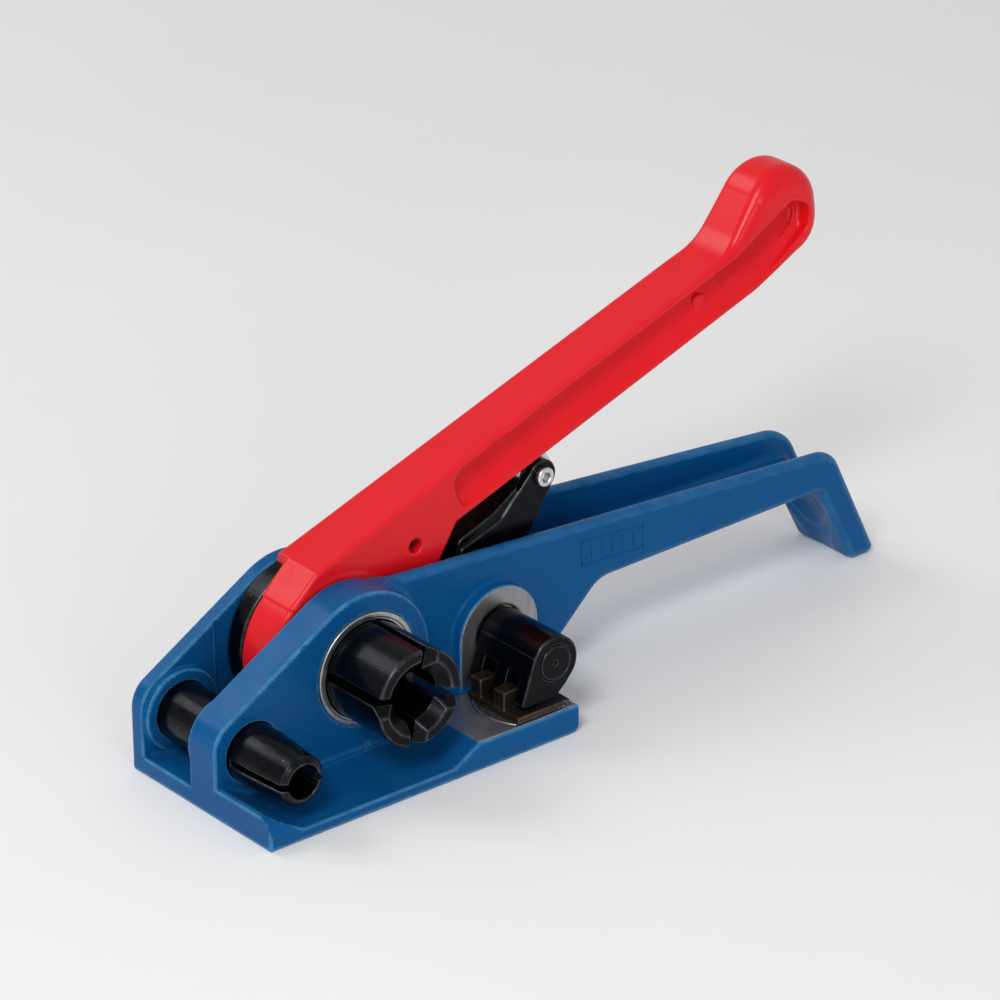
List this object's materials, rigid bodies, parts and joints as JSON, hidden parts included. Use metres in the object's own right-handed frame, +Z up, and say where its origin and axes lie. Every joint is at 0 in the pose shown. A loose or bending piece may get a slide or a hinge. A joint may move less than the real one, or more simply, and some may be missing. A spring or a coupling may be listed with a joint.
{
  "type": "strapping tensioner",
  "caption": "Hand strapping tensioner: ratchet windlass drum turned by a long lever, serrated gripper foot, guide pin and strap ledge on a cast frame with a handle.",
  "frame": {"origin": "point on the resting plane under the windlass axis, on the middle plane of the frame", "axes": "+X from the front nose to the rear hook, +Y away from the drum side, +Z up from the resting plane"},
  "size_m": [0.3236, 0.0872, 0.1673],
  "materials": {
    "blue_paint": "satin-gloss enamel on a casting",
    "red_paint": "glossy enamel on a casting",
    "black_steel": "oiled black oxide on machined steel",
    "machined_steel": "bare turned and milled steel",
    "zinc_steel": "bright zinc plate",
    "brown_steel": "hardened steel, brown temper colour",
    "bronze": "turned bearing bronze"
  },
  "bodies": {
    "frame": {"frame_body": "blue_paint", "anvil_insert": "machined_steel", "guide_pin": "black_steel", "guide_pin_set_screw": "black_steel", "near_bearing_bush": "machined_steel", "far_bearing_bush": "bronze", "holding_pawl_pin": "machined_steel", "holding_pawl_spring": "machined_steel", "ratchet_guard": "black_steel", "guard_screw_1": "black_steel", "guard_screw_2": "black_steel", "gripper_near_bush": "bronze", "gripper_far_bush": "bronze", "gripper_spring": "machined_steel"},
    "windlass": {"windlass_shaft": "black_steel", "ratchet_wheel": "black_steel", "wheel_key": "machined_steel", "shaft_washer": "machined_steel", "shaft_circlip": "black_steel"},
    "lever_hub": {"lever_bush": "bronze"},
    "lever": {"lever": "red_paint", "drive_pawl_pin": "black_steel", "drive_pawl_spring": "machined_steel"},
    "drive_pawl": {"drive_pawl": "black_steel"},
    "holding_pawl": {"holding_pawl": "black_steel"},
    "gripper": {"gripper_shaft": "black_steel", "gripper_circlip": "black_steel", "gripper_arm": "black_steel", "foot_pin": "machined_steel", "release_yoke": "black_steel", "yoke_cross_pin": "machined_steel", "roller_screw": "zinc_steel", "roller_nut": "zinc_steel"},
    "foot": {"gripper_foot": "brown_steel"},
    "roller": {"yoke_roller": "zinc_steel"}
  },
  "joints": [
    {"name": "lever_squeeze", "type": "hinge", "parent": "frame", "child": "lever_hub", "pos_m": [0, 0, 0.0369], "axis": [0, 1, 0], "range_deg": [0, 7], "stiffness_Nm_per_rad": 2, "springref_deg": -34.38},
    {"name": "lever_stroke", "type": "hinge", "parent": "lever_hub", "child": "lever", "pos_m": [0, 0, 0.0369], "axis": [0, -1, 0], "range_deg": [0, 62]},
    {"name": "windlass_spin", "type": "hinge", "parent": "frame", "child": "windlass", "pos_m": [0, 0, 0.0369], "axis": [0, 1, 0], "continuous": true},
    {"name": "gripper_release", "type": "hinge", "parent": "frame", "child": "gripper", "pos_m": [0.0634, 0, 0.0294], "axis": [0, 1, 0], "range_deg": [0, 15.5]},
    {"name": "foot_tilt", "type": "hinge", "parent": "gripper", "child": "foot", "pos_m": [0.0512, -0.0418, 0.0186], "axis": [0, -1, 0], "range_deg": [0, 2]},
    {"name": "roller_spin", "type": "hinge", "parent": "gripper", "child": "roller", "pos_m": [0.095, -0.001, 0.0783], "axis": [0, 1, 0], "continuous": true},
    {"name": "drive_pawl_swing", "type": "hinge", "parent": "lever", "child": "drive_pawl", "pos_m": [0.0356, 0.013, 0.0681], "axis": [0, -1, 0], "range_deg": [0, 15], "stiffness_Nm_per_rad": 0.05, "springref_deg": -28.65, "deforming": ["drive_pawl_spring"]},
    {"name": "holding_pawl_swing", "type": "hinge", "parent": "frame", "child": "holding_pawl", "pos_m": [0.041, 0.014, 0.029], "axis": [0, -1, 0], "range_deg": [0, 12], "stiffness_Nm_per_rad": 0.05, "springref_deg": -28.65, "deforming": ["holding_pawl_spring"]}
  ],
  "couplings": [
    {"joint": "gripper_release", "follows": "lever_squeeze", "ratio": 2.2}
  ]
}
